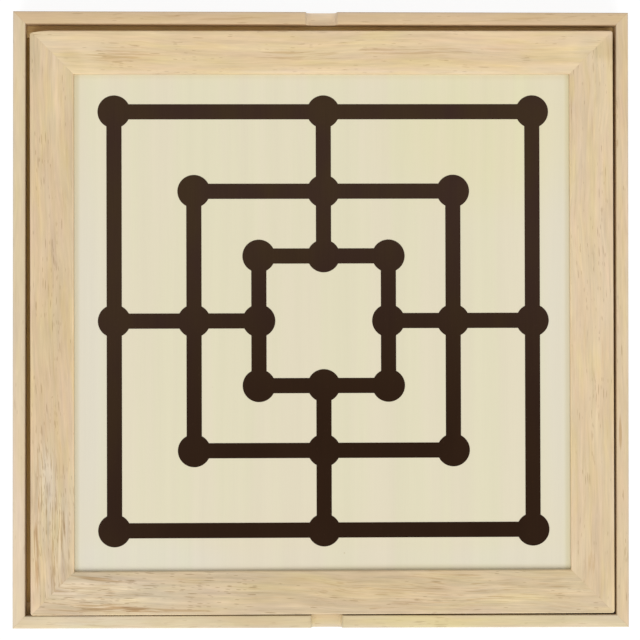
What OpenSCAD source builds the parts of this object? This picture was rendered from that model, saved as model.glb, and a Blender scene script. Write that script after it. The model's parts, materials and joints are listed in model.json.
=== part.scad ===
// Reversible mill and draughts board that drops into a shallow wooden box.
// The box stores twelve light and twelve dark men in two channels under the board.
// Millimetres. The origin is the centre of the box's underside, +Z is up and the front is -Y.

/* [Box] */
// Outer side of the square box
box_size = 300; // [270:1:360]
// Thickness of the four box walls
wall_t = 6; // [5:0.5:9]
// Radius that eases the top edges of the walls
wall_edge_r = 0.6; // [0.2:0.1:1.5]
// Thickness of the plywood floor
floor_t = 4; // [3:0.5:6]
// Height of the floor's underside above the table
floor_lift = 3; // [2:0.5:8]
// Depth of the groove in the walls that holds the floor
floor_groove = 3; // [1.5:0.5:4]
// Free height between the floor and the board
storage_h = 15; // [12:0.5:30]
// Width of the ledges that the board rests on
ledge_t = 6; // [4:0.5:9]

/* [Finger notches] */
// Width of a notch between its straight sides
notch_w = 15; // [12:0.5:30]
// Depth of a notch below the wall's top
notch_depth = 6; // [5.5:0.5:9]
// Radius in the bottom corners of a notch
notch_r = 3; // [1:0.5:3.5]
// Radius that rounds the notch into the wall's top
notch_shoulder_r = 1; // [0.5:0.25:1.5]
// How far the front notch sits to the right of the wall's middle
front_notch_x = 2.5; // [-5:0.5:5]

/* [Board frame] */
// Gap round the board in the box, on each side
board_gap = 1.8; // [1:0.1:3]
// How far the loose board has turned, as a share of its gap
turn_share = 0.18; // [0:0.02:0.6]
// How far the loose board has moved to the right, as a share of its gap
side_share = 0.3; // [0:0.02:0.38]
// Gap between the turned board and the front wall that it has slid up to
front_gap = 0.2; // [0.1:0.05:0.4]
// Height of the board's face below the top of the walls
board_drop = 0; // [0:0.1:2]
// Width of the frame rails
rail_w = 21.3; // [18:0.1:28]
// Thickness of the frame rails
rail_t = 10; // [9:0.5:16]
// Radius on the outer edges of the rails
rail_outer_r = 0.6; // [0.3:0.1:2]
// Radius on the inner edges of the rails
rail_inner_r = 0.8; // [0.3:0.1:2]
// Radius of the board's corners, seen from above
corner_r = 1.5; // [0.5:0.1:4]
// Length of the stretch that is sanded down towards the board's back left corner
worn_l = 12; // [6:0.5:20]
// How much is sanded off the back edge at that corner
worn_d = 1; // [0.1:0.1:1.4]
// Thickness of the playing panel
panel_t = 6; // [4:0.5:7]
// Depth of the groove in the rails that holds the panel
panel_groove = 6; // [4:0.5:8]

/* [Corner keys] */
// Width of a key across the mitre
key_w = 10; // [6:0.5:11]
// Thickness of a key
key_t = 3; // [2:0.5:4]
// Wood left between a key and the sides of the rails
key_cover = 2; // [1.5:0.25:3]

/* [Printed games] */
// Thickness of the printed colour
print_t = 0.1; // [0.05:0.05:0.3]
// Diameter of the points of the mill pattern
point_d = 16; // [12:0.5:20]
// Width of the lines of the mill pattern
line_w = 7.4; // [3:0.1:9]
// Half side of the innermost square, and the step to the middle one
ring_step = 31.6; // [26:0.1:34]
// Bare panel between the outer points and the frame
mill_margin = 10.9; // [6:0.1:16]
// How far the mill print sits to the right of the panel's centre
print_x = 0.6; // [-1.5:0.1:1.5]
// How far the mill print sits behind the panel's centre
print_y = 0.7; // [-1.5:0.1:1.5]
// Bare panel between the draughts field and the frame
field_margin = 8.9; // [6:0.1:20]
// Bare line left round each dark draughts square
square_gap = 0.15; // [0.05:0.05:0.5]
// Gap between the draughts field and the line round it
border_gap = 1.2; // [0.5:0.1:2.5]
// Width of the line round the draughts field
border_w = 1.6; // [0.5:0.1:3]

/* [Men] */
// Number of men on each side
men_each = 12; // [9:1:12]
// Diameter of a man
man_d = 22; // [20:0.5:26]
// Thickness of a man
man_t = 7; // [4:0.5:8]
// Radius on the edges of a man
man_edge_r = 1; // [0.4:0.1:1.2]
// Diameter of the dish turned in both faces of a man
dish_d = 16.6; // [12:0.2:17]
// Depth of the dish below the rim
dish_depth = 0.9; // [0.5:0.1:1.2]
// Diameter of the hub that stands in the middle of the dish
hub_d = 8; // [4:0.5:9]
// Depth of the hub's face below the rim
hub_drop = 0.3; // [0.1:0.05:0.4]
// Width of the slopes at the edges of the hub and the dish
slope_w = 0.6; // [0.2:0.1:1]

/* [Men channels] */
// Gap beside a man in its channel
man_side_gap = 0.75; // [0.4:0.05:2]
// Gap between neighbouring men in a row
man_gap = 0.15; // [0.1:0.05:0.5]
// Gap between the first man and the front end of its channel
row_gap = 0.3; // [0.2:0.05:1]
// Thickness of the channel dividers
divider_t = 5; // [3:0.5:8]
// Radius on the top edges of the channel dividers
divider_edge_r = 1; // [0.4:0.1:1.4]
// Height of the channel dividers above the floor
divider_h = 10; // [6:0.5:11]
// Depth of the housings in the ledges that hold the dividers
housing_depth = 3; // [1.5:0.5:3.5]
// Gap left at the blind ends of grooves and housings
groove_play = 0.3; // [0.1:0.05:0.8]

/* [Hidden] */
$fn = 64;
// Segments in each quarter round of a profile
arc_steps = 5;
// Overlap of a cutter past the surface that it opens
over = 1;
// Least flat left between the panel and the rounding on a rail's lip
lip_flat = 0.4;
// Squares along each side of the draughts field
field_squares = 8;

// Stacking heights
floor_top = floor_lift + floor_t;
ledge_top = floor_top + storage_h;
box_h = ledge_top + rail_t + board_drop;

// Spaces seen from above
inner_size = box_size - 2 * wall_t;
channel_l = inner_size - 2 * ledge_t;
channel_w = man_d + 2 * man_side_gap;
channel_x = channel_l / 2 - channel_w / 2;
divider_x = channel_l / 2 - channel_w - divider_t / 2;

// Board sizes, and its place in the box as it lies against the front wall
board_size = inner_size - 2 * board_gap;
opening_size = board_size - 2 * rail_w;
panel_size = opening_size + 2 * (panel_groove - groove_play);
lip_t = (rail_t - panel_t) / 2;
panel_top = lip_t + panel_t;
rail_inner_edge_r = min(rail_inner_r, lip_t - lip_flat);
board_turn = asin(turn_share * board_gap / (board_size / 2));
board_x = side_share * board_gap;
board_y = front_gap - (1 - turn_share) * board_gap;

// Corner keys fill the solid part of the mitre, from the board's corner to the panel's groove
mitre_l = (rail_w - panel_groove) * sqrt(2);
key_from = key_cover * sqrt(2) + key_w / 2;
key_l = mitre_l - key_cover * sqrt(2) - key_from;

// Printed games
outer_half = opening_size / 2 - mill_margin - point_d / 2;
middle_half = 2 * ring_step;
field_half = opening_size / 2 - field_margin;
square_w = 2 * field_half / field_squares;

// Men in a row
man_pitch = man_d + man_gap;
men_per_row = floor((channel_l - 2 * row_gap + man_gap) / man_pitch);

SIDES = ["front", "right", "back", "left"];
CORNERS = ["front_left", "front_right", "back_right", "back_left"];
function man_name(kind, i) = str(kind, "_man_", i < 10 ? "0" : "", i);

WALL_COLOUR = [0.86, 0.77, 0.63];
LEDGE_COLOUR = [0.72, 0.55, 0.35];
PLY_COLOUR = [0.89, 0.84, 0.73];
RAIL_COLOUR = [0.86, 0.76, 0.61];
PANEL_COLOUR = [0.90, 0.87, 0.77];
KEY_COLOUR = [0.72, 0.57, 0.38];
PRINT_COLOUR = [0.22, 0.14, 0.11];
LIGHT_MAN_COLOUR = [0.89, 0.80, 0.63];
DARK_MAN_COLOUR = [0.24, 0.15, 0.11];

// Points on an arc
function arc(x, y, r, from, to) =
    [for (k = [0:arc_steps]) let (a = from + (to - from) * k / arc_steps) [x + r * cos(a), y + r * sin(a)]];

// Outline of the board from above: rounded corners, and the back edge sanded down to the left one
function board_outline() =
    let (
        half = board_size / 2,
        c = half - corner_r,
        worn_corner = arc(-c, c - worn_d, corner_r, 90 + atan(2 * worn_d / worn_l), 180),
        from = [worn_l - half, half],
        to = worn_corner[0]
    )
    concat(
        arc(c, c, corner_r, 0, 90),
        [for (k = [0:arc_steps - 1])
            let (t = k / arc_steps) [from.x + (to.x - from.x) * t, from.y + (to.y - from.y) * t * t]],
        worn_corner,
        arc(-c, -c, corner_r, 180, 270),
        arc(c, -c, corner_r, 270, 360)
    );

// One side of a mitred square frame: its profile runs along the side, X across it and Y up
module mitred_side(side, outer, width, height) {
    rotate([0, 0, 90 * side])
        intersection() {
            translate([0, -outer / 2, 0])
                rotate([90, 0, 90])
                    linear_extrude(height = outer, center = true) children();
            linear_extrude(height = height)
                polygon([
                    [-outer / 2, -outer / 2],
                    [outer / 2, -outer / 2],
                    [outer / 2 - width, width - outer / 2],
                    [width - outer / 2, width - outer / 2]
                ]);
        }
}

// Section of a box wall, with the groove for the floor
module wall_profile() {
    polygon(concat(
        [
            [0, 0],
            [wall_t, 0],
            [wall_t, floor_lift],
            [wall_t - floor_groove, floor_lift],
            [wall_t - floor_groove, floor_top],
            [wall_t, floor_top]
        ],
        arc(wall_t - wall_edge_r, box_h - wall_edge_r, wall_edge_r, 0, 90),
        arc(wall_edge_r, box_h - wall_edge_r, wall_edge_r, 90, 180)
    ));
}

// Cutter for a finger notch through the front wall
module notch_cut(x) {
    half = notch_w / 2;
    bottom = box_h - notch_depth;
    shoulder = half + notch_shoulder_r;
    shoulder_z = box_h - notch_shoulder_r;
    translate([x, -box_size / 2, 0])
        rotate([90, 0, 0])
            linear_extrude(height = 4 * wall_t, center = true)
                polygon(concat(
                    [[-shoulder, box_h + over]],
                    arc(-shoulder, shoulder_z, notch_shoulder_r, 90, 0),
                    arc(notch_r - half, bottom + notch_r, notch_r, 180, 270),
                    arc(half - notch_r, bottom + notch_r, notch_r, 270, 360),
                    arc(shoulder, shoulder_z, notch_shoulder_r, 180, 90),
                    [[shoulder, box_h + over]]
                ));
}

module wall(side) {
    color(WALL_COLOUR)
        difference() {
            mitred_side(side, box_size, wall_t, box_h) wall_profile();
            if (SIDES[side] == "front") notch_cut(front_notch_x);
            if (SIDES[side] == "back") rotate([0, 0, 180]) notch_cut(0);
        }
}

module floor_panel() {
    size = inner_size + 2 * (floor_groove - groove_play);
    color(PLY_COLOUR)
        translate([-size / 2, -size / 2, floor_lift]) cube([size, size, floor_t]);
}

// Ledge glued inside a wall. The front and back ones run wall to wall and house the dividers
module ledge(side) {
    long = side % 2 == 0;
    length = long ? inner_size : channel_l;
    color(LEDGE_COLOUR)
        rotate([0, 0, 90 * side])
            difference() {
                translate([-length / 2, -inner_size / 2, floor_top]) cube([length, ledge_t, storage_h]);
                if (long)
                    for (x = [-divider_x, divider_x])
                        translate([x - divider_t / 2, -channel_l / 2 - housing_depth, floor_top - over])
                            cube([divider_t, housing_depth + over, divider_h + over]);
            }
}

// Strip that parts a men channel from the middle bay, with its top edges eased
module divider(hand) {
    length = channel_l + 2 * (housing_depth - groove_play);
    half = divider_t / 2;
    edge_r = divider_edge_r;
    color(LEDGE_COLOUR)
        translate([hand * divider_x, length / 2, floor_top])
            rotate([90, 0, 0])
                linear_extrude(height = length)
                    polygon(concat(
                        [[-half, 0], [half, 0]],
                        arc(half - edge_r, divider_h - edge_r, edge_r, 0, 90),
                        arc(edge_r - half, divider_h - edge_r, edge_r, 90, 180)
                    ));
}

// Puts the board's own frame, with its underside at zero, where the board lies in the box
module in_board() {
    translate([board_x, board_y, ledge_top]) rotate([0, 0, board_turn]) children();
}

// Section of a rail, with the groove for the panel
module rail_profile() {
    inner_r = rail_inner_edge_r;
    outer_r = rail_outer_r;
    polygon(concat(
        arc(outer_r, outer_r, outer_r, 180, 270),
        arc(rail_w - inner_r, inner_r, inner_r, 270, 360),
        [
            [rail_w, lip_t],
            [rail_w - panel_groove, lip_t],
            [rail_w - panel_groove, panel_top],
            [rail_w, panel_top]
        ],
        arc(rail_w - inner_r, rail_t - inner_r, inner_r, 0, 90),
        arc(outer_r, rail_t - outer_r, outer_r, 90, 180)
    ));
}

// Block of a corner key, across the mitre at one corner of the board
module key_block(corner) {
    rotate([0, 0, 90 * corner])
        translate([-board_size / 2, -board_size / 2, (rail_t - key_t) / 2])
            rotate([0, 0, 45])
                translate([key_from, -key_w / 2, 0]) cube([key_l, key_w, key_t]);
}

module rail(side) {
    color(RAIL_COLOUR)
        in_board()
            difference() {
                intersection() {
                    mitred_side(side, board_size, rail_w, rail_t) rail_profile();
                    linear_extrude(height = rail_t) polygon(board_outline());
                }
                key_block(side);
                key_block(side + 1);
            }
}

module corner_key(corner) {
    color(KEY_COLOUR) in_board() key_block(corner);
}

module play_panel() {
    color(PANEL_COLOUR)
        in_board()
            translate([-panel_size / 2, -panel_size / 2, lip_t]) cube([panel_size, panel_size, panel_t]);
}

// One square of the mill pattern, with points at its corners and at the middles of its sides
module mill_square(half) {
    difference() {
        square(2 * half + line_w, center = true);
        square(2 * half - line_w, center = true);
    }
    for (x = [-half, 0, half], y = [-half, 0, half])
        if (x != 0 || y != 0)
            translate([x, y]) circle(d = point_d);
}

module mill_pattern() {
    for (half = [ring_step, middle_half, outer_half])
        mill_square(half);
    for (a = [0:90:270])
        rotate(a)
            translate([ring_step, -line_w / 2]) square([outer_half - ring_step, line_w]);
}

module mill_print() {
    color(PRINT_COLOUR)
        in_board()
            translate([print_x, print_y, panel_top]) linear_extrude(height = print_t) mill_pattern();
}

// Dark squares of the draughts field, and the line round it
module draughts_pattern() {
    dark_w = square_w - 2 * square_gap;
    for (col = [0:field_squares - 1], row = [0:field_squares - 1])
        if ((col + row) % 2 == 0)
            translate([col * square_w - field_half + square_gap, row * square_w - field_half + square_gap])
                square(dark_w);
    difference() {
        square(2 * (field_half + border_gap + border_w), center = true);
        square(2 * (field_half + border_gap), center = true);
    }
}

module draughts_print() {
    color(PRINT_COLOUR)
        in_board()
            translate([0, 0, lip_t - print_t]) linear_extrude(height = print_t) draughts_pattern();
}

// Half section of a turned man: a rim, a dish and a hub in both faces
module man_profile() {
    r = man_d / 2;
    face = [
        [0, hub_drop],
        [hub_d / 2, hub_drop],
        [hub_d / 2 + slope_w, dish_depth],
        [dish_d / 2 - slope_w, dish_depth],
        [dish_d / 2, 0]
    ];
    last = len(face) - 1;
    polygon(concat(
        face,
        arc(r - man_edge_r, man_edge_r, man_edge_r, 270, 360),
        arc(r - man_edge_r, man_t - man_edge_r, man_edge_r, 0, 90),
        [for (k = [last:-1:0]) [face[k][0], man_t - face[k][1]]]
    ));
}

// Man number i, counted from the front of its channel. What doesn't fit in the row lies on top of it
module man(i, hand, colour) {
    place = (i - 1) % men_per_row;
    layer = floor((i - 1) / men_per_row);
    y = -channel_l / 2 + row_gap + man_d / 2 + place * man_pitch;
    color(colour)
        translate([hand * channel_x, y, floor_top + layer * man_t]) rotate_extrude() man_profile();
}

for (s = [0:3]) wall(s);
floor_panel();
for (s = [0:3]) ledge(s);
divider(-1);  // divider_left
divider(1);  // divider_right
for (s = [0:3]) rail(s);
for (c = [0:3]) corner_key(c);
play_panel();
mill_print();
draughts_print();
for (i = [1:men_each]) man(i, -1, LIGHT_MAN_COLOUR);
for (i = [1:men_each]) man(i, 1, DARK_MAN_COLOUR);
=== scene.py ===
"""A multi-game board lying in its wooden box: the finish of its pieces, light, floor and camera."""
import json
import math

import bpy
from mathutils import Matrix, Vector


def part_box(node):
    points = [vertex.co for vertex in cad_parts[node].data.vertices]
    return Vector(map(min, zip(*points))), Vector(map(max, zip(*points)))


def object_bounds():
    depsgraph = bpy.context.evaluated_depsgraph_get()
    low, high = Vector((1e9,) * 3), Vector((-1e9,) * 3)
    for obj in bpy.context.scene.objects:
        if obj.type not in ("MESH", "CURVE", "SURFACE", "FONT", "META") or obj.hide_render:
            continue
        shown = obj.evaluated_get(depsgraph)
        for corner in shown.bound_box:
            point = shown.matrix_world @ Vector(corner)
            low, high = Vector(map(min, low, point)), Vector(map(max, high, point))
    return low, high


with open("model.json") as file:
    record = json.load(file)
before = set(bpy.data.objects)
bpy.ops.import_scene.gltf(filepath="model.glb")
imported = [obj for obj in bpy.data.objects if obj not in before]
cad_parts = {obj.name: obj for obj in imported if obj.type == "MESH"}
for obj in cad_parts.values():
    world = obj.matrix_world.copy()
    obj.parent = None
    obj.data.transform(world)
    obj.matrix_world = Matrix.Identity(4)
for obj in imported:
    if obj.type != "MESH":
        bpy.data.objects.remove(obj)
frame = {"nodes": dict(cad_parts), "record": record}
CAD_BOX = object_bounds()
NODES = frame["nodes"]

# Lengths are in metres, and in millimetres where a comment says so or where they are times MM
MM = 0.001
WHITE = (1, 1, 1, 1)

# Camera: nearly straight down, aimed at a point on the surface that the box stands on
IMAGE_PX = 640
SENSOR_MM = 36.0
FOCAL_PX = 3014.4
CAMERA_DISTANCE = 1.5
CAMERA_REACH = 20.0
CAMERA_AIM = Vector((0.12, 0.15, 0.0)) * MM
CAMERA_TILT_DEG = (-0.682, 1.534, 0.019)

# Light: an even room, and one bright soft source high in front. The source gives three angles in degrees:
# its height over the floor, its turn from the object's +X axis, and how wide it looks. Then comes its
# strength. What a level surface gets from both together is close to 1.
ROOM_LIGHT = 0.53
FRONT_LAMP = {"height": 52, "turn": -90, "width": 46, "strength": 1.85}

# Floor: a pale sheet that stays white to the camera and keeps a faint shadow. The camera sees a dim surface
# with a glow over it, and the box gets its light back from a plain pale one. It lies a little lower than the
# box's underside, so that no two faces share a plane.
FLOOR_SIZE = 6.0
FLOOR_DROP = 0.3 * MM
FLOOR_PLAIN = 0.80
FLOOR_SHADE = 0.18
FLOOR_GLOW = 0.88


def srgb(red, green, blue):
    """A colour as it looks on a screen, 0 to 255 each, as the linear colour that a shader takes."""
    def linear(value):
        share = value / 255
        return share / 12.92 if share <= 0.04045 else ((share + 0.055) / 1.055) ** 2.4
    return (linear(red), linear(green), linear(blue), 1.0)


# Each solid wood piece: colour, direction of its grain, how strong its bands and its pores are, how far its
# hue wanders, and the slope of its grain. Its number in this table is the seed of its grain.
LEDGE = dict(bands=0.5, pores=0.4, hue=0.5)
DIVIDER = dict(colour=srgb(200, 164, 114), along="y", bands=0.5, pores=0.5, hue=0.5)
SOLID_WOOD = {
    "wall_front": dict(colour=srgb(222, 203, 167), along="x", bands=0.4, pores=0.3, hue=0.8),
    "wall_right": dict(colour=srgb(222, 198, 161), along="y", bands=0.7, pores=0.6, hue=0.7, slope=0.02),
    "wall_back": dict(colour=srgb(207, 180, 142), along="x", bands=0.45, pores=0.35, hue=0.4, slope=0.01),
    "wall_left": dict(colour=srgb(220, 200, 167), along="y", bands=0.3, pores=0.2, hue=0.5),
    "rail_front": dict(colour=srgb(218, 196, 161), along="x", bands=1.2, pores=1.0, hue=0.6, slope=-0.04),
    "rail_right": dict(colour=srgb(226, 203, 167), along="y", bands=0.85, pores=0.5, hue=0.8, slope=0.01),
    "rail_back": dict(colour=srgb(222, 198, 159), along="x", bands=0.9, pores=0.5, hue=0.8, slope=-0.01),
    "rail_left": dict(colour=srgb(220, 196, 158), along="y", bands=0.95, pores=0.6, hue=0.9, slope=0.03),
    # The ledges are one stock. Their colours differ side by side as painted light and shade for the gaps
    # over them: the left and right ones darker and browner, the front and back ones lighter.
    "ledge_front": dict(colour=srgb(222, 190, 134), along="x", slope=0.01, **LEDGE),
    "ledge_right": dict(colour=srgb(176, 136, 76), along="y", slope=-0.01, **LEDGE),
    "ledge_back": dict(colour=srgb(228, 196, 134), along="x", slope=0.02, **LEDGE),
    "ledge_left": dict(colour=srgb(172, 136, 72), along="y", **LEDGE),
    "divider_left": dict(slope=0.01, **DIVIDER),
    "divider_right": DIVIDER,
}
# The board lies turned in its box by this many degrees, and so do the lines along its edges
BOARD_TURN = 0.13
# Local stains and painted light and shade, each an ellipse on the plan: which tint, how strong, its middle,
# its half sizes along X and Y in mm, and its turn in degrees. Every dim one is painted shade.
STAINS_AND_PAINTED_LIGHT = {
    "rail_front": [
        ("pale", 1.2, (-106, -131), (50, 13), -3),
        ("bright", 0.9, (-108, -131), (26, 3.5), -3),
        ("brown", 0.9, (-102, -140), (30, 2.6), -3),
        ("brown", 0.9, (-108, -126), (20, 1.8), -4),
        ("yellow", 0.5, (5, -131), (55, 13), 0),
        ("pink", 0.5, (30, -132), (60, 12), 0),
        ("pale", 0.4, (90, -131), (30, 13), 0),
        ("bright", 0.5, (78, -127), (52, 5), 0),
        ("yellow", 0.35, (85, -131), (80, 14), 0),
        ("pale", 0.5, (-78, -131), (44, 5), 0),
        ("brown", 0.75, (-92, -141.4), (60, 1.5), 0),
        ("dim", 1.0, (-106, -140.2), (40, 4.2), 0),
        ("bright", 0.9, (-111, -129.5), (30, 6), 0),
        ("bright", 0.6, (120, -129), (36, 12), 0),
        ("bright", 0.5, (60, -124.5), (50, 4), 0),
        # Painted highlight on the outer arris at the right end
        ("bright", 0.8, (136, -141.2), (12, 1.6), 0),
        ("fresh", 0.6, (-119, -130), (10, 5), 0),
        ("pale", 1.0, (-119, -130), (12, 6), 0),
        ("pale", 0.7, (122, -128), (8, 6), 0),
        ("bright", 0.4, (122, -128), (8, 6), 0),
        ("dim", 0.6, (-30, -126), (46, 4), 0),
        ("pale", 0.8, (-79, -136), (22, 4), 0),
    ],
    "rail_left": [
        # Painted light that lifts the inner edge out of its shade, and a painted highlight on the outer
        # arris
        ("fresh", 1.0, (-120.5, 0), (0.9, 220), BOARD_TURN),
        ("bright", 0.8, (-140.8, 50), (1.0, 140), BOARD_TURN),
        ("grey", 1.0, (-130, -100), (14, 56), 3),
        ("grey", 0.4, (-127, -74), (8, 56), 2),
        ("pale", 0.3, (-121, -78), (1.6, 62), 0),
        ("grey", 0.6, (-123, -84), (4.5, 60), 0),
        ("brown", 0.6, (-125.5, -98), (1.0, 14), 5),
        ("brown", 0.9, (-138.5, -112), (2.0, 28), 3),
        ("brown", 0.6, (-138, -76), (1.4, 18), 2),
        ("dim", 0.5, (-138.5, -112), (4, 24), 0),
        ("pale", 0.7, (-133.5, -82), (4.5, 26), 2),
        ("bright", 0.5, (-133, -82), (4, 22), 2),
        ("dim", 0.4, (-140, -80), (4, 60), 0),
        ("dim", 0.6, (-130, -32), (14, 50), 0),
        ("dim", 0.5, (-137, 2), (8, 66), 0),
        ("pink", 0.6, (-126, -60), (6, 36), 0),
        ("pale", 0.8, (-130, 112), (12, 30), 0),
        ("bright", 0.7, (-133, 112), (11, 22), 0),
        ("bright", 0.8, (-133, 129), (20, 9), -45),
        ("pale", 0.5, (-133, 129), (20, 9), -45),
        ("grey", 1.0, (-134.5, -132), (10, 7), 45),
        ("dim", 0.7, (-137.5, -135.5), (7, 6), 45),
        ("dim", 0.9, (-126, -124), (8, 6), 45),
        ("pale", 0.9, (-132.5, -82), (4, 26), 2),
    ],
    "rail_right": [
        # Painted light that lifts the inner edge out of its shade, and a painted highlight on the outer
        # arris
        ("fresh", 1.0, (121.4, 0), (0.9, 220), BOARD_TURN),
        ("bright", 0.8, (141.9, -1), (1.0, 170), BOARD_TURN),
        ("yellow", 1.0, (122.5, 113), (2.0, 11), 0),
        ("brown", 0.5, (122, 101), (1.4, 12), 0),
        ("brown", 0.4, (132, -118), (5, 7), 0),
        ("dim", 0.9, (132, -95), (24, 95), 0),
        ("dim", 0.3, (133, -30), (18, 130), 0),
        ("bright", 0.4, (123, -85), (2, 60), 0),
        ("dim", 0.9, (138.5, -116), (6, 40), 0),
        # Painted highlight on the outer arris at the front end
        ("bright", 0.8, (142.2, -134), (0.7, 14), 0),
        ("dim", 1.0, (139, 132.5), (9, 8), 45),
        ("yellow", 0.6, (139, 132.5), (9, 8), 45),
        ("dim", 0.6, (131, -127), (14, 8), -45),
    ],
    "rail_back": [
        ("brown", 0.5, (-99, 128), (26, 5), 0),
        ("brown", 0.5, (-20, 129), (38, 4), 0),
        ("brown", 0.45, (53, 131), (62, 3.2), 0),
        ("pale", 0.6, (-128, 131), (32, 14), 0),
        # Painted highlight and painted shade along the inner edge
        ("pale", 1.0, (0, 120.4), (170, 1.8), BOARD_TURN),
        ("dim", 0.9, (0, 119.8), (220, 0.8), BOARD_TURN),
        ("bright", 0.9, (-70, 139.2), (90, 5), 0),
        ("dim", 0.45, (5, 126.5), (90, 7), 0),
        ("dim", 0.4, (-70, 126), (112, 10), 0),
        ("dim", 0.4, (-46, 127), (22, 6), 0),
        ("yellow", 0.2, (-60, 125), (110, 10), 0),
        ("yellow", 0.5, (45, 125), (80, 3), 0),
        ("pink", 0.5, (90, 136), (50, 5), 0),
        ("dim", 0.5, (-121, 126.5), (10, 6), -45),
        ("yellow", 0.35, (-121, 126.5), (10, 6), -45),
        ("grey", 1.0, (130, 132.5), (10, 7), 45),
        ("dim", 0.4, (50, 127), (26, 5), 0),
        ("yellow", 0.3, (50, 127), (26, 5), 0),
        ("pale", 0.8, (112, 123), (20, 3), 0),
    ],
    "wall_front": [
        ("pale", 1.0, (-110, -147), (56, 7), 0),
        ("bright", 0.7, (-138, -147), (24, 7), 0),
        ("bright", 0.4, (-92, -147), (62, 7), 0),
        ("bright", 0.4, (140, -147), (26, 7), 0),
        ("yellow", 0.5, (-20, -147), (40, 8), 0),
        ("pink", 0.4, (-20, -147), (44, 8), 0),
        ("cool", 1.2, (0, -149.6), (190, 1.2), 0),
        ("dim", 0.6, (-15, -147), (60, 8), 0),
        ("yellow", 0.6, (60, -147), (90, 6), 0),
        ("pale", 0.7, (138, -147), (26, 7), 0),
    ],
    "wall_right": [
        ("brown", 0.8, (145.8, -56), (1.4, 14), 0),
        ("pink", 0.8, (147.5, 103), (3, 26), 0),
        ("brown", 0.7, (144.5, 86), (0.9, 4), 0),
        ("pale", 0.6, (147, 18), (6, 26), 0),
        ("dim", 0.6, (147, -95), (8, 95), 0),
        ("grey", 0.7, (149.4, -60), (1.2, 130), 0),
        ("cool", 0.8, (149.6, 0), (1.2, 190), 0),
    ],
    "wall_back": [
        ("brown", 0.35, (-70, 147), (70, 2.2), 0),
        ("brown", 0.35, (92, 146.5), (36, 1.6), 1),
        ("dim", 0.4, (-128, 147), (26, 6), 0),
        ("cool", 1.2, (0, 149.4), (190, 1.2), 0),
        # Painted highlight along the inner arris
        ("bright", 0.6, (0, 144.6), (190, 0.9), 0),
    ],
    "wall_left": [
        ("pink", 0.6, (-147, -95), (8, 80), 0),
        ("cool", 0.6, (-149.6, 0), (1.2, 190), 0),
        ("pale", 0.8, (-147, -112), (8, 60), 0),
        ("bright", 1.0, (-147, 128), (8, 46), 0),
        ("yellow", 0.3, (-147, 60), (6, 80), 0),
        ("dim", 0.3, (-147, -4), (8, 40), 0),
    ],
    "play_panel": [
        ("cool", 1.0, (-118, -30), (24, 150), 0),
        ("cool", 0.8, (119, -10), (18, 140), 0),
        ("cool", 0.9, (-84, -118), (52, 18), 0),
        ("cool", 0.3, (20, -119), (120, 12), 0),
        ("cool", 0.4, (96, -118), (44, 14), 0),
        ("pink", 0.3, (0, -112), (110, 26), 0),
        ("yellow", 0.5, (80, 90), (70, 50), 0),
        # Painted shade on the panel at the foot of the front rail
        ("dust", 0.45, (60, -122), (130, 3.5), BOARD_TURN),
    ],
}
# Where pores, streaks and brown threads crowd, given in the same way. They thin out where the strength is
# below 0.
CROWDS = {
    "rail_front": [
        ("streaks", 1.2, (-108, -134), (42, 14), -3),
        ("threads", 0.7, (-104, -133), (44, 12), -3),
        ("pores", 0.9, (-104, -131), (40, 13), -3),
        ("streaks", 0.5, (-50, -131), (40, 13), 0),
        ("pores", 0.8, (-62, -133), (46, 12), -4),
        ("pores", 0.8, (-40, -130), (12, 9), 0),
        ("threads", 0.7, (60, -132), (110, 13), 0),
        ("streaks", 0.5, (70, -132), (95, 13), 0),
        ("streaks", -1.0, (-119, -130), (11, 5), 0),
    ],
    "rail_left": [
        ("pores", 0.6, (-133, 89), (5, 12), 0),
        ("pores", 0.7, (-129, 24), (8, 34), 0),
        ("pores", 0.9, (-130, -46), (5, 12), 0),
        ("pores", 0.5, (-131, -108), (12, 44), 5),
        ("streaks", 0.9, (-131, -112), (13, 50), 5),
        ("threads", 1.0, (-131, -98), (12, 60), 4),
        ("pores", 0.9, (-131, -84), (12, 56), 4),
    ],
    "rail_right": [
        ("pores", 0.8, (137, 76), (5, 9), 0),
        ("pores", 0.8, (134.5, 7), (8, 15), 0),
        ("pores", 0.8, (134.5, -38), (6, 21), 0),
    ],
    "rail_back": [
        ("pores", 0.8, (-99, 129), (21, 6), 0),
        ("pores", 0.8, (-58, 129), (16, 5), 0),
    ],
    "wall_front": [
        ("threads", 0.5, (-105, -147), (48, 6), 0),
    ],
}
# What each tint does to the red, green and blue of the wood that it lies on
TINTS = {
    "brown": (0.72, 0.61, 0.48),
    # Paler wood, and along the back rail's inner edge a painted highlight
    "pale": (1.03, 1.06, 1.11),
    "pink": (1.0, 0.95, 0.96),
    "yellow": (1.0, 1.0, 0.84),
    "grey": (0.93, 0.95, 0.99),
    # Painted shade
    "dim": (0.90, 0.89, 0.87),
    "cool": (0.99, 1.01, 1.09),
    # Lighter wood, and along arrises a painted highlight
    "bright": (1.07, 1.06, 1.04),
    # A clean pale patch, and along the rails' inner edges painted light that lifts their shade
    "fresh": (1.14, 1.13, 1.11),
    # Painted shade on the panel at the foot of the rails
    "dust": (0.82, 0.79, 0.68),
}
# A local area is at its full strength within this share of its ellipse, and fades to the rim
AREA_CORE = 0.3
# How deep the wood's ragged lines tear the rims of a brown stain, and between which strengths the torn rim
# fades in
TEAR = 4.5
TORN_RIM = (0.30, 0.80)

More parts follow.
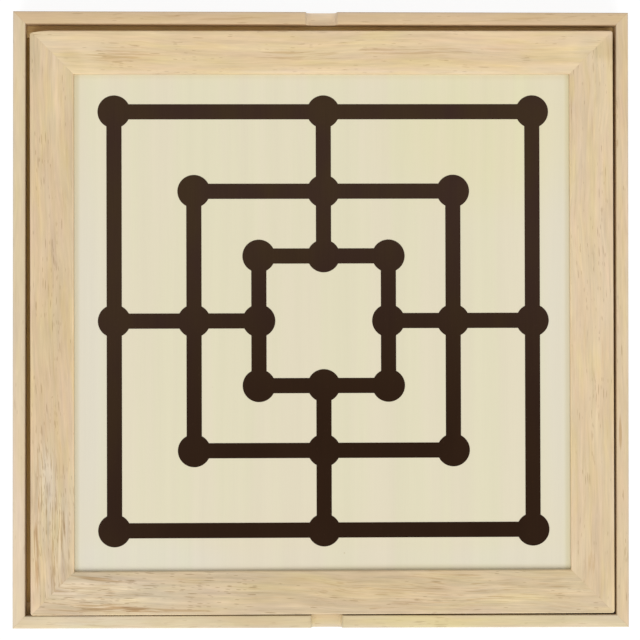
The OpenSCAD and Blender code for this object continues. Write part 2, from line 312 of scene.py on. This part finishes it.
# Solid wood is made of layers of noise along its grain: length and width of their patches in mm, and their
# detail and roughness
WOOD_LAYERS = {
    "broad": (130, 6.0, 2.0, 0.5),
    "narrow": (44, 1.5, 3.0, 0.6),
    "blotches": (18, 3.2, 2.0, 0.5),
    "fibres": (11, 0.70, 2.0, 0.5),
    "hairs": (15, 0.50, 2.0, 0.5),
    "drifts": (30, 5.0, 2.0, 0.5),
    "warmth": (30, 5.5, 1.0, 0.5),
    "ragged": (22, 0.95, 3.0, 0.6),
    "yellowness": (36, 4.5, 2.0, 0.5),
}
# How much a layer lightens and darkens the wood: in every piece, and for each unit of a piece's bands
TONES = {
    "broad": (0.12, 0.18),
    "narrow": (0.10, 0.22),
    "blotches": (0.08, 0.15),
    "fibres": (0.18, 0.0),
    "hairs": (0.08, 0.0),
}
# By what share each unit of a piece's hue changes the red, green and blue where its colour wanders
PINKISH = (0.0, -0.025, -0.02)
GREENISH = (0.0, 0.015, 0.0)
PALER = (0.0, 0.0, 0.07)
YELLOWER = (0.0, 0.0, -0.11)
# Where a layer begins to show as a hue or a mark of its own, and where that is full
SHOWS = {
    "greenish": (0.36, 0.64),
    "paler": (0.50, 0.32),
    "yellower": (0.50, 0.68),
    "crowds": (0.44, 0.70),
    "lines": (0.56, 0.72),
    "threads": (0.54, 0.68),
}
# Small marks along the grain: length and width of the cells that they lie in, in mm, and the share of the
# cells that has one. The share of the pores grows where they crowd.
FLECKS = (6.0, 0.9, 0.22)
SHORT_PORES = (4.4, 0.62, 0.30)
LONG_PORES = (10.0, 0.72, 0.25)
# How full the pores are in every piece, and for each unit of a piece's pores, and how full a short one is
# beside a long one
PORE_FILL = (0.4, 0.5)
SHORT_PORE_FILL = 0.8
# How strong each mark is, and what it then does to the red, green and blue of the wood
LINE = (0.35, (0.76, 0.66, 0.54))
THREAD = (1.0, (0.70, 0.60, 0.48))
PORE = (0.85, (0.56, 0.47, 0.37))
FLECK = (0.35, (1.12, 1.13, 1.15))
# The same for the arrises: painted shade that greys and darkens them on the walls, and a painted highlight
# on the rest
WALL_ARRIS_SHADE = (0.6, (0.84, 0.86, 0.92))
ARRIS_HIGHLIGHT = (0.6, (1.08, 1.09, 1.13))
# How much smoother an arris is, and how high the fibres stand where a pore is 1 deep
ARRIS_POLISH = 0.06
FIBRE_RELIEF = 0.4
# How far the largest part of a surface's normal falls where an arris begins to show, and where it is full
ARRIS_SHOWS = (0.995, 0.80)
# The corner keys hidden in the mitres: their colour, and the seed of their grain
KEY_COLOUR = srgb(205, 175, 130)
KEY_SEED = 31

# The finger notches: how they change the colour, partly as the paler wood of the cut and partly as painted
# light that lifts their shade, most in the back wall's notch; the painted light that lifts the shade of
# their steep faces besides; how far the cut reaches beyond the opening's sides and floor, and the rim over
# which it fades
NOTCH_TINTS = {"wall_front": (1.0, 1.03, 1.10), "wall_back": (1.22, 1.30, 1.46)}
NOTCH_STEEP_LIGHT = (1.13, 1.16, 1.20)
NOTCH_REACH = 2.3 * MM
NOTCH_FLOOR_DEPTH = 1.0 * MM
NOTCH_RIM = 0.8 * MM
# How far the normal's part across the wall falls where the cut begins to show and where it is full, and the
# same of its upward part for a steep face
NOTCH_CUT = (0.95, 0.60)
NOTCH_STEEP = (0.98, 0.60)

# Veneer: its layers, its rare specks and its arrises, given as those of solid wood, and a speck's radius as
# a share of its cell
VENEER_LAYERS = {
    "stripes": (300, 7.0, 2.0, 0.5),
    "hues": (240, 12.0, 1.0, 0.5),
    "fibres": (30, 0.6, 2.0, 0.5),
    "waves": (90, 4.0, 3.0, 0.6),
}
SPECKS = (9.0, 6.0, 0.05, 0.08)
SPECK = (0.5, (0.75, 0.68, 0.55))
VENEER_ARRIS = (0.3, (1.04, 1.04, 1.04))
# How much the stripes and fibres of veneer lighten and darken it, and how much its waves do where it is bold
VENEER_TONES = {"stripes": 0.08, "fibres": 0.04}
VENEER_WAVES = 0.10
# The panel and the box's floor: their colours, the seeds of their grain, and how bold the floor's figure is
PANEL_COLOUR = srgb(226, 218, 191)
PANEL_SEED = 3
FLOOR_PLY_COLOUR = srgb(224, 206, 170)
FLOOR_PLY_FIGURE = 2.6
FLOOR_PLY_SEED = 9
# Painted shade on the panel at the foot of a rail: how strong it is there, how wide in mm, and a length far
# beyond the rail's ends, so that it doesn't fade there
FOOT_SHADE = {"rail_left": 0.7, "rail_right": 0.6, "rail_back": 0.2}
FOOT_WIDTH = 3.0
FOOT_LENGTH = 6000.0

# Printed ink, which shows the grain of the panel under it. Its plain colour holds a painted sheen; in one
# area towards the front it is darker, without that sheen: the area's middle on the plan, its half sizes in
# mm, and its turn. Where it is worn it is lighter.
INK_LAYERS = {"fibres": (30, 0.5, 2.0, 0.5), "clouds": (40, 18.0, 2.0, 0.5)}
INK_TONES = {"clouds": 0.30, "fibres": 0.20}
WORN_SPOTS = (3.0, 0.5, 0.10, 0.22)
WORN_SPOT = (0.25, (2.0, 2.0, 2.0))
INK_COLOUR = srgb(60, 44, 33)
INK_COLOUR_WITHOUT_SHEEN = srgb(45, 29, 18)
INK_AREA_WITHOUT_SHEEN = ((20, -112), (210, 185), 0)

# The men: their wood's layers and pores, and for each side its colour, how strong its bands and its fibres
# are, and the first seed of its grain. Each side has a few materials, with the grain turned by these angles.
MAN_LAYERS = {"bands": (40, 1.8, 3.0, 0.55), "fibres": (14, 0.35, 2.0, 0.5)}
MAN_PORES = (3.0, 0.45, 0.5)
MAN_PORE = (0.5, (0.6, 0.52, 0.45))
MAN_ARRIS = (0.25, (1.18, 1.18, 1.16))
MAN_WOOD = {
    "light": dict(colour=srgb(226, 201, 158), bands=0.24, fibres=0.16, first_seed=41),
    "dark": dict(colour=srgb(96, 60, 40), bands=0.55, fibres=0.30, first_seed=51),
}
MAN_GRAIN_TURNS_DEG = (8, 67, 128)

# Two hues of a colour, as factors for its red, green and blue, and where a layer takes it from the first one
# to the second
VENEER_HUES = ((1.0, 0.988, 0.99), (0.988, 1.0, 0.965), (0.38, 0.62))
INK_HUES = ((1.0, 0.95, 1.10), (1.0, 1.04, 0.88), (0.3, 0.7))
MAN_HUES = ((0.98, 0.94, 0.88), (1.02, 1.03, 1.04), (0.35, 0.65))

# How each material meets the light: how rough it is where its fibres are low and where they are high, the
# depth of its relief and how strongly it shows, and how much the surface shines. The range says what is low
# and high in the noise of the fibres.
FIBRE_RANGE = (0.3, 0.7)
WOOD_SURFACE = dict(rough=(0.50, 0.60), depth=0.05 * MM, strength=0.6, specular=0.3)
VENEER_SURFACE = dict(rough=(0.52, 0.60), depth=0.03 * MM, strength=0.5, specular=0.3)
INK_SURFACE = dict(rough=(0.60, 0.70), depth=0.02 * MM, strength=0.5, specular=0.02)
MAN_SURFACE = dict(rough=(0.38, 0.50), depth=0.04 * MM, strength=0.5, specular=0.45)

# The grain of any wood: how far its place moves for each seed, and how far it drifts across itself over a
# patch of that length and width, all in mm, and how much of that drift it has in its depth
SEED_STEPS = (173.0, 61.0, 37.0)
DRIFT_PATCH = (70, 26, 26)
DRIFT_REACH = 7.0
DRIFT_IN_DEPTH = 0.6
# Veneer and ink drift less than solid wood, and turned men a little less
VENEER_WANDER = 0.4
MAN_WANDER = 0.7

# Fine rounding of the edges that a hand plane and sandpaper leave, by the start of a node's name
EDGE_ROUNDING = {
    "wall_": 0.12 * MM,
    "rail_": 0.10 * MM,
    "ledge_": 0.4 * MM,
    "divider_": 0.3 * MM,
    "floor_panel": 0.2 * MM,
    "corner_key": 0.2 * MM,
}
ROUNDING_SEGMENTS = 2
# An edge is rounded above the first of these angles, and shaded sharp above the second. Faces that differ by
# less than the third are one flat face, and corners closer than the distance are one corner.
ROUNDED_ANGLE = math.radians(38)
SMOOTH_ANGLE = math.radians(35)
FLAT_ANGLE = math.radians(0.4)
WELD_DISTANCE = 0.001 * MM


class Graph:
    """The nodes of one tree. Each method adds a node and returns what it puts out."""

    def __init__(self, tree):
        self.tree = tree
        self.tree.nodes.clear()

    def add(self, kind, inputs=None, **settings):
        node = self.tree.nodes.new(kind)
        for key, value in settings.items():
            setattr(node, key, value)
        for key, value in (inputs or {}).items():
            if isinstance(value, bpy.types.NodeSocket):
                self.tree.links.new(value, node.inputs[key])
            else:
                node.inputs[key].default_value = value
        return node

    def math(self, operation, *values, clamp=False):
        node = self.add("ShaderNodeMath", dict(enumerate(values)), operation=operation, use_clamp=clamp)
        return node.outputs[0]

    def chain(self, operation, first, *others):
        for other in others:
            first = self.math(operation, first, other)
        return first

    def plus(self, *values):
        return self.chain("ADD", *values)

    def times(self, *values):
        return self.chain("MULTIPLY", *values)

    def largest(self, *values):
        return self.chain("MAXIMUM", *values)

    def swing(self, value, amount):
        """How far a noise value lies from its middle, times an amount."""
        return self.times(self.math("SUBTRACT", value, 0.5), amount)

    def vector(self, operation, *values):
        return self.add("ShaderNodeVectorMath", dict(enumerate(values)), operation=operation).outputs[0]

    def scale(self, vector, factor):
        node = self.add("ShaderNodeVectorMath", {"Vector": vector, "Scale": factor}, operation="SCALE")
        return node.outputs[0]

    def split(self, vector):
        return self.add("ShaderNodeSeparateXYZ", {"Vector": vector}).outputs

    def noise(self, vector, detail=2.0, roughness=0.5):
        inputs = {"Vector": vector, "Scale": 1.0, "Detail": detail, "Roughness": roughness}
        return self.add("ShaderNodeTexNoise", inputs).outputs[0]

    def remap(self, value, low, high, to_low=0.0, to_high=1.0, smooth=True):
        inputs = {"Value": value, "From Min": low, "From Max": high, "To Min": to_low, "To Max": to_high}
        kind = "SMOOTHSTEP" if smooth else "LINEAR"
        return self.add("ShaderNodeMapRange", inputs, interpolation_type=kind).outputs[0]

    def mix(self, share, first, second, blend="MIX"):
        node = self.add("ShaderNodeMix", {0: share, 6: first, 7: second}, data_type="RGBA", blend_type=blend)
        return node.outputs[2]

    def tint(self, share, colour, rgb):
        """The colour times three factors, for red, green and blue, as far as the share says."""
        return self.mix(share, colour, (*rgb, 1.0), "MULTIPLY")

    def within(self, value, low, high, soft):
        """1 between two limits and 0 outside them, with a soft rim beyond each."""
        return self.times(self.remap(value, low - soft, low), self.remap(value, high + soft, high))

    def seen_direct(self):
        """1 where the camera looks, straight, in gloss or through glass, and 0 for light on the object."""
        rays = self.add("ShaderNodeLightPath").outputs
        return self.largest(rays["Is Camera Ray"], rays["Is Glossy Ray"], rays["Is Transmission Ray"])

    def finish(self, colour, fibres, height, rough, depth, strength, specular, polish=None):
        """A surface in relief, as rough as its fibres say between two limits, less its polish."""
        roughness = self.remap(fibres, *FIBRE_RANGE, *rough)
        if polish is not None:
            roughness = self.math("SUBTRACT", roughness, polish)
        bump = self.add("ShaderNodeBump", {"Height": height, "Distance": depth, "Strength": strength})
        shader = self.add("ShaderNodeBsdfPrincipled", {
            "Base Color": colour, "Roughness": roughness, "Normal": bump.outputs[0],
            "Specular IOR Level": specular})
        self.add("ShaderNodeOutputMaterial", {"Surface": shader.outputs[0]})


def new_material(name):
    """A new material and the graph of its nodes."""
    material = bpy.data.materials.new(name)
    material.use_nodes = True
    return material, Graph(material.node_tree)


def tinted(colour, red, green, blue):
    """The colour with its red, green and blue times three factors."""
    return (colour[0] * red, colour[1] * green, colour[2] * blue, 1.0)


def factors(changes, hue):
    """Factors for red, green and blue, from their changes for each unit of hue."""
    return [1.0 + change * hue for change in changes]


def two_hues(g, layer, colour, first, second, limits):
    """One hue of the colour where a layer of noise is low, and another where it is high."""
    return g.mix(g.remap(layer, *limits), tinted(colour, *first), tinted(colour, *second))


def marked(g, wood, share, look):
    """The wood with a mark where the share says. The look is how strong the mark is, and its tint."""
    strength, tint = look
    return g.tint(g.times(share, strength), wood, tint)


def painted(g, surface, share, look, colour):
    """The surface with a mark in a tint of its plain colour. The look is how strong it is, and its tint."""
    strength, tint = look
    return g.mix(g.times(share, strength), surface, tinted(colour, *tint))


def grain_place(g, along, seed, slope=0.0, wander=1.0, turn=0.0):
    """A place in millimetres, X along the grain, that drifts across the grain as a tree's rings do."""
    shift = [step * seed for step in SEED_STEPS]
    angle = turn + (-math.pi / 2 if along == "y" else 0.0)
    place = g.add("ShaderNodeMapping", {
        "Vector": g.add("ShaderNodeTexCoord").outputs["Object"],
        "Rotation": (0.0, 0.0, angle), "Scale": (1 / MM,) * 3}).outputs[0]
    x, y, z = g.split(place)
    patch = g.vector("MULTIPLY", g.vector("ADD", place, shift), [1 / size for size in DRIFT_PATCH])
    drift = g.swing(g.noise(patch), DRIFT_REACH * wander)
    across = g.plus(y, drift, g.times(x, -slope), shift[1])
    depth = g.plus(z, g.times(drift, DRIFT_IN_DEPTH), shift[2])
    return g.add("ShaderNodeCombineXYZ", {"X": g.plus(x, shift[0]), "Y": across, "Z": depth}).outputs[0]


def streaks(g, place, length, width, detail, roughness):
    """Noise drawn out along the grain, from 0 to 1, in patches of that length and width in millimetres."""
    return g.noise(g.vector("MULTIPLY", place, (1 / length, 1 / width, 1 / width)), detail, roughness)


def layers(g, place, patches):
    """The layers of noise that make up one kind of wood, by name."""
    return {name: streaks(g, place, *patch) for name, patch in patches.items()}


def dashes(g, place, length, width, share, radius=0.36):
    """Short marks along the grain: one in some of the cells of that length and width, from 0 to 1.

    The share of cells that have a mark may be a number or a socket. A mark's radius is a share of its cell,
    and it fades over the outer half.
    """
    cells = g.vector("MULTIPLY", place, (1 / length, 1 / width, 1 / width))
    node = g.add("ShaderNodeTexVoronoi", {"Vector": cells, "Scale": 1.0, "Randomness": 1.0})
    body = g.remap(node.outputs["Distance"], radius, radius / 2)
    chance = g.add("ShaderNodeSeparateColor", {"Color": node.outputs["Color"]}).outputs[0]
    return g.times(body, g.math("LESS_THAN", chance, share))


def ellipse(g, middle, half, turn):
    """1 in the middle of an ellipse on the plan and 0 from its rim on. Place and half sizes are in mm."""
    local = g.add("ShaderNodeMapping", {
        "Vector": g.add("ShaderNodeTexCoord").outputs["Object"],
        "Location": (middle[0] * MM, middle[1] * MM, 0.0), "Rotation": (0.0, 0.0, math.radians(turn)),
        "Scale": (half[0] * MM, half[1] * MM, 1.0)}, vector_type="TEXTURE").outputs[0]
    away = g.add("ShaderNodeVectorMath", {0: local}, operation="LENGTH").outputs["Value"]
    return g.remap(away, 1.0, AREA_CORE)


def crowded(g, areas, kind, value):
    """A value that grows where the areas of one kind lie."""
    for mark, strength, *area in areas:
        if mark == kind:
            value = g.plus(value, g.times(ellipse(g, *area), strength))
    return value


def stained_and_lit(g, wood, stains_and_light, ragged=None):
    """The wood with stain marks and painted light and shade. The ragged layer tears the brown ones' rims."""
    for tint, strength, *area in stains_and_light:
        share = g.times(ellipse(g, *area), strength)
        if tint == "brown":
            share = g.times(g.remap(g.plus(share, g.swing(ragged, TEAR)), *TORN_RIM), share)
        wood = g.tint(share, wood, TINTS[tint])
    return wood


def arrises_for_wear_and_light(g):
    """1 on rounded arrises, 0 on the flats between them."""
    normal = g.add("ShaderNodeTexCoord").outputs["Normal"]
    return g.remap(g.largest(*g.split(g.vector("ABSOLUTE", normal))), *ARRIS_SHOWS)


def notch_shares(g, box):
    """How far a point belongs to a finger notch, given the notch's opening, and how steep it is there."""
    at = g.add("ShaderNodeTexCoord").outputs
    x, _, z = g.split(at["Object"])
    _, facing, level = g.split(at["Normal"])
    (left, _, floor), (right, _, _) = box
    top = CAD_BOX[1][2]
    across = g.within(x, left - NOTCH_REACH, right + NOTCH_REACH, NOTCH_RIM / 2)
    depth = g.within(z, floor - NOTCH_FLOOR_DEPTH, top - NOTCH_RIM, NOTCH_RIM)
    cut = g.remap(g.math("ABSOLUTE", facing), *NOTCH_CUT)
    inside = g.times(across, depth, cut)
    return inside, g.times(inside, g.remap(level, *NOTCH_STEEP))


def wandering_hue(g, grain, colour, hue):
    """The colour, here pinkish and there greenish, and paler or yellower in drifts of their own."""
    pinkish, greenish, paler, yellower = (factors(c, hue) for c in (PINKISH, GREENISH, PALER, YELLOWER))
    wood = two_hues(g, grain["warmth"], colour, pinkish, greenish, SHOWS["greenish"])
    wood = g.tint(g.remap(grain["yellowness"], *SHOWS["paler"]), wood, paler)
    return g.tint(g.remap(grain["yellowness"], *SHOWS["yellower"]), wood, yellower)


def brown_pores(g, place, crowd, pores):
    """Short brown pores and longer ones, more of them where they crowd, from 0 to 1."""
    short, long = (dashes(g, place, length, width, g.times(crowd, share))
                   for length, width, share in (SHORT_PORES, LONG_PORES))
    every, own = PORE_FILL
    pore = g.largest(g.times(short, SHORT_PORE_FILL), long)
    return g.math("MULTIPLY", pore, every + own * pores, clamp=True)


def solid_wood(name, seed, colour, along, bands=0.5, pores=0.5, hue=0.5, slope=0.0,
               stains_and_light=(), crowds=(), arris=ARRIS_HIGHLIGHT, notch=None):
    """Pale close-grained wood: bands, fibres, short brown pores, light flecks and stain marks.

    Its arrises, its notch and some local areas have painted light and shade.
    """
    material, g = new_material(name)
    place = grain_place(g, along, seed, slope)
    grain = layers(g, place, WOOD_LAYERS)
    stir = crowded(g, crowds, "streaks", 1.0)
    stringy = crowded(g, crowds, "threads", 0.0)
    crowd = crowded(g, crowds, "pores", g.remap(grain["drifts"], *SHOWS["crowds"]))

    wood = stained_and_lit(g, wandering_hue(g, grain, colour, hue), stains_and_light, grain["ragged"])
    tone = g.plus(*(g.swing(grain[layer], plain + banded * bands)
                    for layer, (plain, banded) in TONES.items()))
    wood = g.scale(wood, g.plus(g.times(tone, stir), 1.0))
    wood = marked(g, wood, g.times(g.remap(grain["ragged"], *SHOWS["lines"]), bands, stir), LINE)
    wood = marked(g, wood, g.times(g.remap(grain["hairs"], *SHOWS["threads"]), stringy), THREAD)
    wood = marked(g, wood, dashes(g, place, *FLECKS), FLECK)
    pore = brown_pores(g, place, crowd, pores)
    wood = marked(g, wood, pore, PORE)
    edge = arrises_for_wear_and_light(g)
    if notch:
        inside, steep = notch_shares(g, notch)
        # Paler cut wood in the notch with painted light that lifts its shade, and more painted light on its
        # steep faces
        wood = g.tint(inside, wood, NOTCH_TINTS[name])
        wood = g.tint(steep, wood, NOTCH_STEEP_LIGHT)
        edge = g.times(edge, g.math("SUBTRACT", 1.0, inside))
    # Painted shade on the walls' arrises, and a painted highlight on the other pieces' arrises
    wood = marked(g, wood, edge, arris)
    height = g.math("SUBTRACT", g.times(grain["fibres"], FIBRE_RELIEF), pore)
    g.finish(wood, grain["fibres"], height, polish=g.times(edge, ARRIS_POLISH), **WOOD_SURFACE)
    return material


def veneer(name, colour, along, seed, stains_and_light=(), bold=1.0):
    """Close, even veneer: broad faint stripes of two hues, fine fibres, a rare speck and local stain marks.

    On the panel some of those marks are painted shade at the foot of the rails.

    Bold is how strong its stripes and fibres are.
    """
    material, g = new_material(name)
    place = grain_place(g, along, seed, wander=VENEER_WANDER)
    grain = layers(g, place, VENEER_LAYERS)
    swings = [g.swing(grain[layer], amount * bold) for layer, amount in VENEER_TONES.items()]
    tone = g.plus(*swings, g.swing(grain["waves"], VENEER_WAVES * (bold - 1.0)), 1.0)
    sheet = g.scale(two_hues(g, grain["hues"], colour, *VENEER_HUES), tone)
    sheet = stained_and_lit(g, sheet, stains_and_light)
    sheet = painted(g, sheet, dashes(g, place, *SPECKS), SPECK, colour)
    sheet = painted(g, sheet, arrises_for_wear_and_light(g), VENEER_ARRIS, colour)
    g.finish(sheet, grain["fibres"], grain["fibres"], **VENEER_SURFACE)
    return material


def ink(name, colour, colour_without_sheen, area_without_sheen, along, seed):
    """Matt screen-printed ink that shows the veneer's fibres, with a painted sheen outside one darker area.
    """
    material, g = new_material(name)
    place = grain_place(g, along, seed, wander=VENEER_WANDER)
    grain = layers(g, place, INK_LAYERS)
    tone = g.plus(*(g.swing(grain[layer], amount) for layer, amount in INK_TONES.items()), 1.0)
    film = two_hues(g, grain["clouds"], colour, *INK_HUES)
    # Painted sheen: the ink is lighter outside the area and darker within it
    film = g.scale(g.mix(ellipse(g, *area_without_sheen), film, colour_without_sheen), tone)
    film = painted(g, film, dashes(g, place, *WORN_SPOTS), WORN_SPOT, colour)
    g.finish(film, grain["fibres"], grain["fibres"], **INK_SURFACE)
    return material


def turned_wood(name, colour, bands, fibres, turn, seed):
    """Side grain across a turned disc, with its bands, fibres and pores."""
    material, g = new_material(name)
    place = grain_place(g, "x", seed, wander=MAN_WANDER, turn=math.radians(turn))
    grain = layers(g, place, MAN_LAYERS)
    pore = dashes(g, place, *MAN_PORES)
    tone = g.plus(g.swing(grain["bands"], bands), g.swing(grain["fibres"], fibres), 1.0)
    wood = g.scale(two_hues(g, grain["bands"], colour, *MAN_HUES), tone)
    wood = painted(g, wood, pore, MAN_PORE, colour)
    wood = painted(g, wood, arrises_for_wear_and_light(g), MAN_ARRIS, colour)
    height = g.math("SUBTRACT", g.times(grain["fibres"], FIBRE_RELIEF), pore)
    g.finish(wood, grain["fibres"], height, **MAN_SURFACE)
    return material


def dress(node, material):
    """Gives a node of the frame this one material."""
    slots = NODES[node].data.materials
    slots.clear()
    slots.append(material)


def soft_shading():
    """A geometry node group that shades curved surfaces smooth and keeps real corners sharp."""
    group = bpy.data.node_groups.new("soft_shading", "GeometryNodeTree")
    for side in ("INPUT", "OUTPUT"):
        group.interface.new_socket("Geometry", in_out=side, socket_type="NodeSocketGeometry")
    g = Graph(group)
    mesh = g.add("NodeGroupInput").outputs[0]
    mesh = g.add("GeometryNodeRemoveAttribute", {"Geometry": mesh, "Name": "custom_normal"}).outputs[0]
    mesh = g.add("GeometryNodeSetShadeSmooth", {"Geometry": mesh}).outputs[0]
    angle = g.add("GeometryNodeInputMeshEdgeAngle").outputs[0]
    curved = {"Geometry": mesh, "Shade Smooth": g.math("LESS_THAN", angle, SMOOTH_ANGLE)}
    mesh = g.add("GeometryNodeSetShadeSmooth", curved, domain="EDGE").outputs[0]
    g.add("NodeGroupOutput", {0: mesh})
    return group


def ease_edges(piece, width, shading):
    """Takes the sharpness off a piece's edges, as sanding does, without moving a face."""
    weld = piece.modifiers.new("weld", "WELD")
    weld.merge_threshold = WELD_DISTANCE
    flat = piece.modifiers.new("flat", "DECIMATE")
    flat.decimate_type = "DISSOLVE"
    flat.angle_limit = FLAT_ANGLE
    bevel = piece.modifiers.new("bevel", "BEVEL")
    bevel.width = width
    bevel.segments = ROUNDING_SEGMENTS
    bevel.limit_method = "ANGLE"
    bevel.angle_limit = ROUNDED_ANGLE
    bevel.harden_normals = False
    smooth = piece.modifiers.new("shading", "NODES")
    smooth.node_group = shading


def foot_shade_lines():
    """A line of painted shade on the panel along the inner edge of each rail, given as local areas."""
    lines = []
    for rail, strength in FOOT_SHADE.items():
        low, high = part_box(rail)
        side = low[0] if rail == "rail_right" else high[0]
        if rail == "rail_back":
            lines.append(("dust", strength, (0, low[1] / MM), (FOOT_LENGTH, FOOT_WIDTH), 0))
        else:
            lines.append(("dust", strength, (side / MM, 0), (FOOT_WIDTH, FOOT_LENGTH), 0))
    return lines


def finish_box_and_board():
    openings = {opening["name"]: opening["box_m"] for opening in frame["record"]["physics"]["openings"]}
    for seed, (node, look) in enumerate(SOLID_WOOD.items(), 1):
        notch = openings.get(node.replace("wall_", "finger_notch_"))
        # Walls take painted shade on their arrises, and the other pieces a painted highlight
        dress(node, solid_wood(
            node, seed, stains_and_light=STAINS_AND_PAINTED_LIGHT.get(node, ()), crowds=CROWDS.get(node, ()),
            arris=WALL_ARRIS_SHADE if node.startswith("wall_") else ARRIS_HIGHLIGHT, notch=notch, **look))
    # The panel's own marks, with the painted shade at the foot of its rails
    panel_stains_and_light = STAINS_AND_PAINTED_LIGHT["play_panel"] + foot_shade_lines()
    dress("play_panel", veneer("play_panel", PANEL_COLOUR, "y", PANEL_SEED, panel_stains_and_light))
    floor_ply = veneer("floor_panel", FLOOR_PLY_COLOUR, "x", FLOOR_PLY_SEED, bold=FLOOR_PLY_FIGURE)
    dress("floor_panel", floor_ply)
    print_ink = ink("print_ink", INK_COLOUR, INK_COLOUR_WITHOUT_SHEEN, INK_AREA_WITHOUT_SHEEN, "y", PANEL_SEED)
    dress("mill_print", print_ink)
    dress("draughts_print", print_ink)
    keys = solid_wood("corner_key", KEY_SEED, KEY_COLOUR, "x")
    for node in NODES:
        if node.startswith("corner_key"):
            dress(node, keys)


def finish_men():
    """Each side's men take its materials in turn, so that their grain lies in different directions."""
    for side, look in MAN_WOOD.items():
        woods = [
            turned_wood(f"{side}_wood_{k}", look["colour"], look["bands"], look["fibres"], turn,
                        look["first_seed"] + k)
            for k, turn in enumerate(MAN_GRAIN_TURNS_DEG)]
        for node in NODES:
            if node.startswith(f"{side}_man"):
                number = int(node[-2:])
                dress(node, woods[number % len(woods)])


def round_edges():
    shading = soft_shading()
    for node, piece in sorted(NODES.items()):
        for start, width in EDGE_ROUNDING.items():
            if node.startswith(start):
                ease_edges(piece, width, shading)


def add_floor():
    bpy.ops.mesh.primitive_plane_add(size=FLOOR_SIZE, location=(0, 0, -FLOOR_DROP))
    floor = bpy.context.object
    floor.name = "floor"
    material, g = new_material("floor")
    plain = g.add("ShaderNodeBsdfDiffuse", {"Color": (FLOOR_PLAIN,) * 3 + (1,)}).outputs[0]
    shade = g.add("ShaderNodeBsdfDiffuse", {"Color": (FLOOR_SHADE,) * 3 + (1,)}).outputs[0]
    glow = g.add("ShaderNodeEmission", {"Color": WHITE, "Strength": FLOOR_GLOW}).outputs[0]
    white = g.add("ShaderNodeAddShader", {0: shade, 1: glow}).outputs[0]
    surface = g.add("ShaderNodeMixShader", {0: g.seen_direct(), 1: plain, 2: white}).outputs[0]
    g.add("ShaderNodeOutputMaterial", {"Surface": surface})
    floor.data.materials.append(material)


def add_room():
    """Even light from all around, which looks plain white to the camera."""
    world = bpy.data.worlds.new("room")
    world.use_nodes = True
    g = Graph(world.node_tree)
    strength = g.remap(g.seen_direct(), 0.0, 1.0, ROOM_LIGHT, 1.0, smooth=False)
    background = g.add("ShaderNodeBackground", {"Color": WHITE, "Strength": strength}).outputs[0]
    g.add("ShaderNodeOutputWorld", {"Surface": background})
    bpy.context.scene.world = world


def add_lamp(name, height, turn, width, strength):
    """A soft lamp far away, which lights all of the board from one direction."""
    data = bpy.data.lights.new(name, "SUN")
    data.angle = math.radians(width)
    data.energy = strength
    lamp = bpy.data.objects.new(name, data)
    lift, side = math.radians(height), math.radians(turn)
    towards = Vector((math.cos(lift) * math.cos(side), math.cos(lift) * math.sin(side), math.sin(lift)))
    lamp.location = towards
    lamp.rotation_euler = towards.to_track_quat("Z", "Y").to_euler()
    bpy.context.scene.collection.objects.link(lamp)


def add_camera():
    """The camera looks down at its aim. Its axes are the object's own, tilted a little."""
    rx, ry, rz = (math.radians(a) for a in CAMERA_TILT_DEG)
    tilt = Matrix.Rotation(rx, 4, "X") @ Matrix.Rotation(ry, 4, "Y") @ Matrix.Rotation(rz, 4, "Z")
    data = bpy.data.cameras.new("camera")
    data.sensor_width = SENSOR_MM
    data.lens = FOCAL_PX / IMAGE_PX * SENSOR_MM
    data.clip_end = CAMERA_REACH
    camera = bpy.data.objects.new("camera", data)
    camera.matrix_world = (Matrix.Translation(CAMERA_AIM) @ tilt.transposed()
                           @ Matrix.Translation((0, 0, CAMERA_DISTANCE)))
    bpy.context.scene.collection.objects.link(camera)
    bpy.context.scene.camera = camera


def main():
    add_camera()
    finish_box_and_board()
    finish_men()
    round_edges()
    add_floor()
    add_room()
    add_lamp("front_lamp", **FRONT_LAMP)
    bpy.context.scene.view_settings.view_transform = "Standard"


main()
